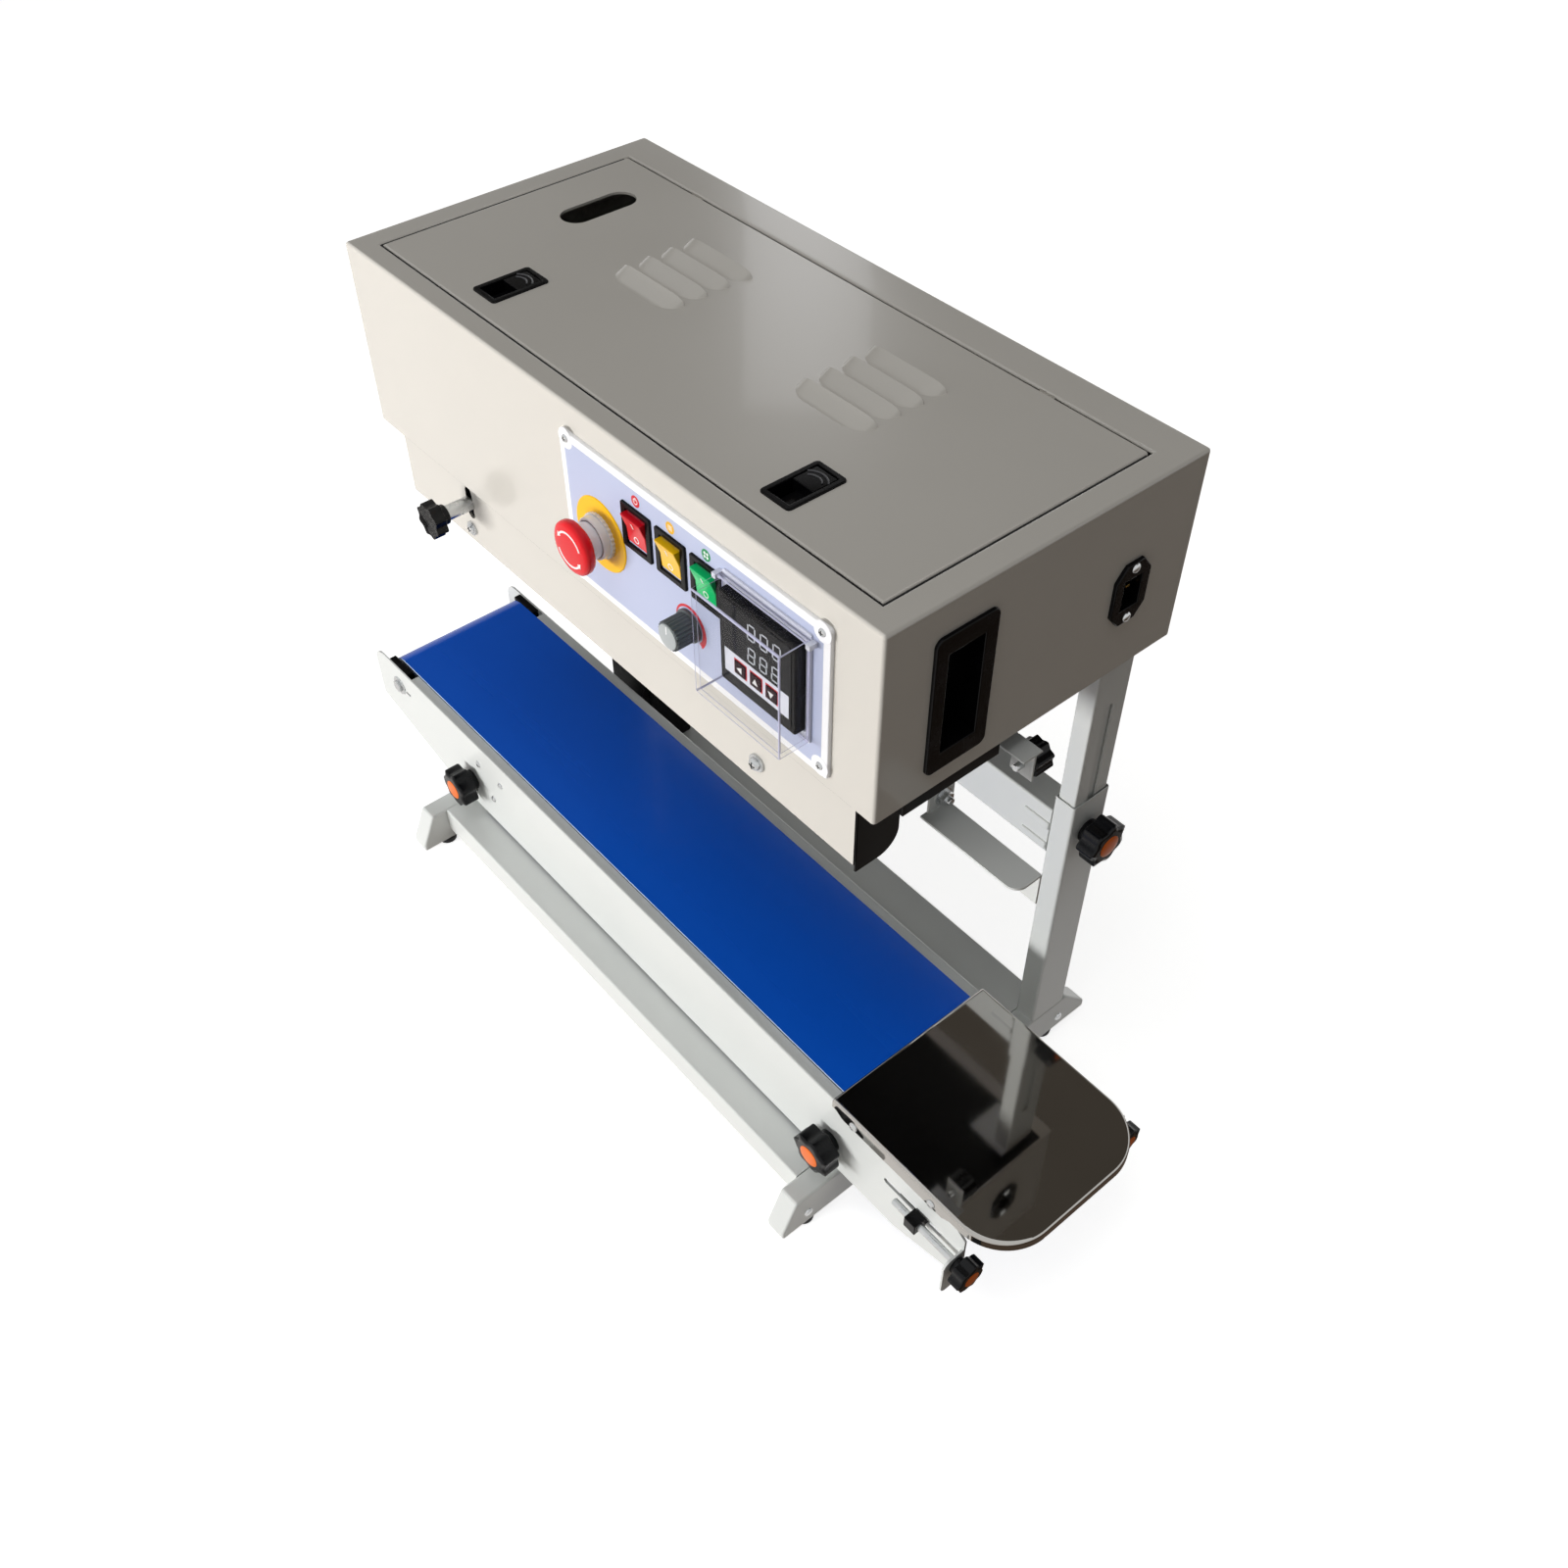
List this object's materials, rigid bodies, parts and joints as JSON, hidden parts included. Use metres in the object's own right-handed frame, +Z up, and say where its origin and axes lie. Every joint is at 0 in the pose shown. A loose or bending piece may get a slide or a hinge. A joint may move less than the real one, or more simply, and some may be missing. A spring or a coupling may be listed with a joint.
{
  "type": "continuous band sealer",
  "caption": "Benchtop continuous band sealer: a height-adjustable heated sealing head on twin telescopic columns over a belt conveyor with an outfeed tray.",
  "frame": {"origin": "on the floor, under the middle of the bounding box", "axes": "+X the way the bags travel, from infeed to outfeed; -Y the operator's side with the control panel; +Z up"},
  "size_m": [0.88, 0.361, 0.631],
  "materials": {
    "head_paint": "gloss powder coat",
    "frame_paint": "satin powder coat",
    "black_metal": "satin black paint",
    "rubber": "matte",
    "black_plastic": "fine matte",
    "belt_pvc": "glossy",
    "steel": "satin",
    "aluminium": "machined",
    "mirror_steel": "mirror polished",
    "panel_film": "printed film",
    "estop_yellow": "gloss",
    "estop_red": "gloss",
    "rocker_red": "translucent gloss",
    "rocker_yellow": "translucent gloss",
    "rocker_green": "translucent gloss",
    "knob_grey": "matte",
    "cover_plastic": "gloss",
    "clear_acrylic": "clear",
    "brass": "machined",
    "band_film": "coated fabric film",
    "motor_cast": "cast"
  },
  "bodies": {
    "base": {"foot_tubes": "frame_paint", "rubber_feet": "rubber", "base_plate": "frame_paint", "outer_columns": "frame_paint", "cross_beam": "frame_paint", "conveyor_brackets": "frame_paint"},
    "conveyor": {"side_plates": "frame_paint", "slider_bed": "steel", "conveyor_belt": "belt_pvc", "drive_axle": "black_plastic", "outfeed_tray": "mirror_steel", "conveyor_screws": "steel"},
    "head": {"head_case": "head_paint", "inner_columns": "frame_paint", "control_panel": "panel_film", "head_screws": "steel", "estop_collar": "estop_yellow", "rocker_bezels": "black_plastic", "speed_dial": "steel", "temperature_controller": "black_plastic", "cover_frame": "cover_plastic", "lifting_handles": "black_plastic", "power_inlet": "black_plastic", "skirt_plate": "head_paint", "end_guard": "black_metal", "outfeed_arm": "frame_paint", "mechanism_plate": "black_metal", "heating_blocks": "brass", "cooling_blocks": "aluminium", "sealing_bands": "band_film", "guide_belts": "rubber", "drive_motor": "motor_cast"},
    "lid": {"lid": "head_paint", "latch_frames": "black_plastic"},
    "left_column_knob": {"left_column_knob": "black_plastic"},
    "right_column_knob": {"right_column_knob": "black_plastic"},
    "left_conveyor_knob": {"left_conveyor_knob": "black_plastic"},
    "right_conveyor_knob": {"right_conveyor_knob": "black_plastic"},
    "drive_roller": {"drive_roller": "aluminium"},
    "tension_axle": {"tension_axle": "black_plastic"},
    "tension_roller": {"tension_roller": "aluminium"},
    "front_tension_screw": {"front_tension_screw": "black_plastic"},
    "rear_tension_screw": {"rear_tension_screw": "black_plastic"},
    "estop_stem": {"estop_stem": "steel"},
    "estop_cap": {"estop_cap": "estop_red"},
    "power_rocker": {"power_rocker": "rocker_red"},
    "heater_rocker": {"heater_rocker": "rocker_yellow"},
    "fan_rocker": {"fan_rocker": "rocker_green"},
    "speed_knob": {"speed_knob": "knob_grey"},
    "controller_cover": {"controller_cover": "clear_acrylic"},
    "inlet_guide": {"inlet_guide": "steel"},
    "guide_knob": {"guide_knob": "black_plastic"},
    "left_latch": {"left_latch": "black_plastic"},
    "right_latch": {"right_latch": "black_plastic"},
    "front_drive_wheel": {"front_drive_wheel": "aluminium"},
    "rear_drive_wheel": {"rear_drive_wheel": "aluminium"},
    "front_idler_wheel": {"front_idler_wheel": "aluminium"},
    "rear_idler_wheel": {"rear_idler_wheel": "aluminium"},
    "fan_rotor": {"fan_rotor": "black_plastic"},
    "pressure_knob": {"pressure_knob": "black_plastic"}
  },
  "joints": [
    {"name": "head_lift", "type": "slide", "parent": "base", "child": "head", "axis": [0, 0, 1], "range_m": [-0.12, 0.08]},
    {"name": "left_column_knob_turn", "type": "hinge", "parent": "base", "child": "left_column_knob", "pos_m": [-0.305, 0.127, 0.287], "axis": [-1, 0, 0], "range_deg": [0, 360]},
    {"name": "right_column_knob_turn", "type": "hinge", "parent": "base", "child": "right_column_knob", "pos_m": [0.267, 0.127, 0.287], "axis": [1, 0, 0], "range_deg": [0, 360]},
    {"name": "conveyor_lift", "type": "slide", "parent": "base", "child": "conveyor", "axis": [0, 0, 1], "range_m": [0, 0.012]},
    {"name": "left_conveyor_knob_turn", "type": "hinge", "parent": "base", "child": "left_conveyor_knob", "pos_m": [-0.27, -0.121, 0.086], "axis": [0, -1, 0], "range_deg": [0, 360]},
    {"name": "right_conveyor_knob_turn", "type": "hinge", "parent": "base", "child": "right_conveyor_knob", "pos_m": [0.256, -0.121, 0.086], "axis": [0, -1, 0], "range_deg": [0, 360]},
    {"name": "drive_roller_spin", "type": "hinge", "parent": "conveyor", "child": "drive_roller", "pos_m": [-0.397, -0.041, 0.121], "axis": [0, 1, 0], "continuous": true},
    {"name": "front_tension_turn", "type": "hinge", "parent": "conveyor", "child": "front_tension_screw", "pos_m": [0.402, -0.128, 0.106], "axis": [1, 0, 0], "range_deg": [-1, 2305]},
    {"name": "rear_tension_turn", "type": "hinge", "parent": "conveyor", "child": "rear_tension_screw", "pos_m": [0.402, 0.046, 0.106], "axis": [1, 0, 0], "range_deg": [-1, 2305]},
    {"name": "tension_slide", "type": "slide", "parent": "conveyor", "child": "tension_axle", "axis": [1, 0, 0], "range_m": [-0.008, 0]},
    {"name": "tension_roller_spin", "type": "hinge", "parent": "tension_axle", "child": "tension_roller", "pos_m": [0.342, -0.041, 0.121], "axis": [0, 1, 0], "continuous": true},
    {"name": "lid_hinge", "type": "hinge", "parent": "head", "child": "lid", "pos_m": [-0.016, 0.1275, 0.6235], "axis": [-1, 0, 0], "range_deg": [0, 95]},
    {"name": "left_latch_slide", "type": "slide", "parent": "lid", "child": "left_latch", "axis": [0, -1, 0], "range_m": [0, 0.006]},
    {"name": "right_latch_slide", "type": "slide", "parent": "lid", "child": "right_latch", "axis": [0, -1, 0], "range_m": [0, 0.006]},
    {"name": "estop_push", "type": "slide", "parent": "head", "child": "estop_stem", "axis": [0, 1, 0], "range_m": [0, 0.005], "stiffness_N_per_m": 1500},
    {"name": "estop_twist", "type": "hinge", "parent": "estop_stem", "child": "estop_cap", "pos_m": [0.0085, -0.14, 0.541], "axis": [0, 1, 0], "range_deg": [0, 45], "stiffness_Nm_per_rad": 0.02},
    {"name": "power_rocker_tilt", "type": "hinge", "parent": "head", "child": "power_rocker", "pos_m": [0.052, -0.12, 0.568], "axis": [-1, 0, 0], "range_deg": [0, 16]},
    {"name": "heater_rocker_tilt", "type": "hinge", "parent": "head", "child": "heater_rocker", "pos_m": [0.088, -0.12, 0.568], "axis": [-1, 0, 0], "range_deg": [0, 16]},
    {"name": "fan_rocker_tilt", "type": "hinge", "parent": "head", "child": "fan_rocker", "pos_m": [0.124, -0.12, 0.568], "axis": [-1, 0, 0], "range_deg": [0, 16]},
    {"name": "speed_knob_turn", "type": "hinge", "parent": "head", "child": "speed_knob", "pos_m": [0.1035, -0.12, 0.523], "axis": [0, 1, 0], "range_deg": [0, 300]},
    {"name": "cover_flip", "type": "hinge", "parent": "head", "child": "controller_cover", "pos_m": [0.182, -0.124, 0.588], "axis": [-1, 0, 0], "range_deg": [0, 90]},
    {"name": "inlet_guide_slide", "type": "slide", "parent": "head", "child": "inlet_guide", "axis": [0, 0, 1], "range_m": [-0.01, 0.01]},
    {"name": "guide_knob_turn", "type": "hinge", "parent": "inlet_guide", "child": "guide_knob", "pos_m": [-0.186, -0.153, 0.457], "axis": [0, -1, 0], "range_deg": [0, 360]},
    {"name": "rear_drive_spin", "type": "hinge", "parent": "head", "child": "rear_drive_wheel", "pos_m": [0.21, -0.0445, 0.476], "axis": [0, 0, 1], "continuous": true},
    {"name": "front_drive_spin", "type": "hinge", "parent": "head", "child": "front_drive_wheel", "pos_m": [0.21, -0.0855, 0.476], "axis": [0, 0, 1], "continuous": true},
    {"name": "rear_idler_spin", "type": "hinge", "parent": "head", "child": "rear_idler_wheel", "pos_m": [-0.24, -0.0445, 0.476], "axis": [0, 0, 1], "continuous": true},
    {"name": "front_idler_spin", "type": "hinge", "parent": "head", "child": "front_idler_wheel", "pos_m": [-0.24, -0.0855, 0.476], "axis": [0, 0, 1], "continuous": true},
    {"name": "fan_spin", "type": "hinge", "parent": "head", "child": "fan_rotor", "pos_m": [0.035, -0.047, 0.476], "axis": [0, 0, 1], "continuous": true},
    {"name": "pressure_knob_turn", "type": "hinge", "parent": "head", "child": "pressure_knob", "pos_m": [0.276, 0.024, 0.435], "axis": [0, 1, 0], "range_deg": [0, 360]}
  ],
  "couplings": [
    {"joint": "front_drive_spin", "follows": "rear_drive_spin", "ratio": -1},
    {"joint": "rear_idler_spin", "follows": "rear_drive_spin", "ratio": 1},
    {"joint": "front_idler_spin", "follows": "rear_drive_spin", "ratio": -1},
    {"joint": "tension_roller_spin", "follows": "drive_roller_spin", "ratio": 1},
    {"joint": "front_tension_turn", "follows": "tension_slide", "rad_per_m": -5026.5},
    {"joint": "rear_tension_turn", "follows": "tension_slide", "rad_per_m": -5026.5}
  ]
}
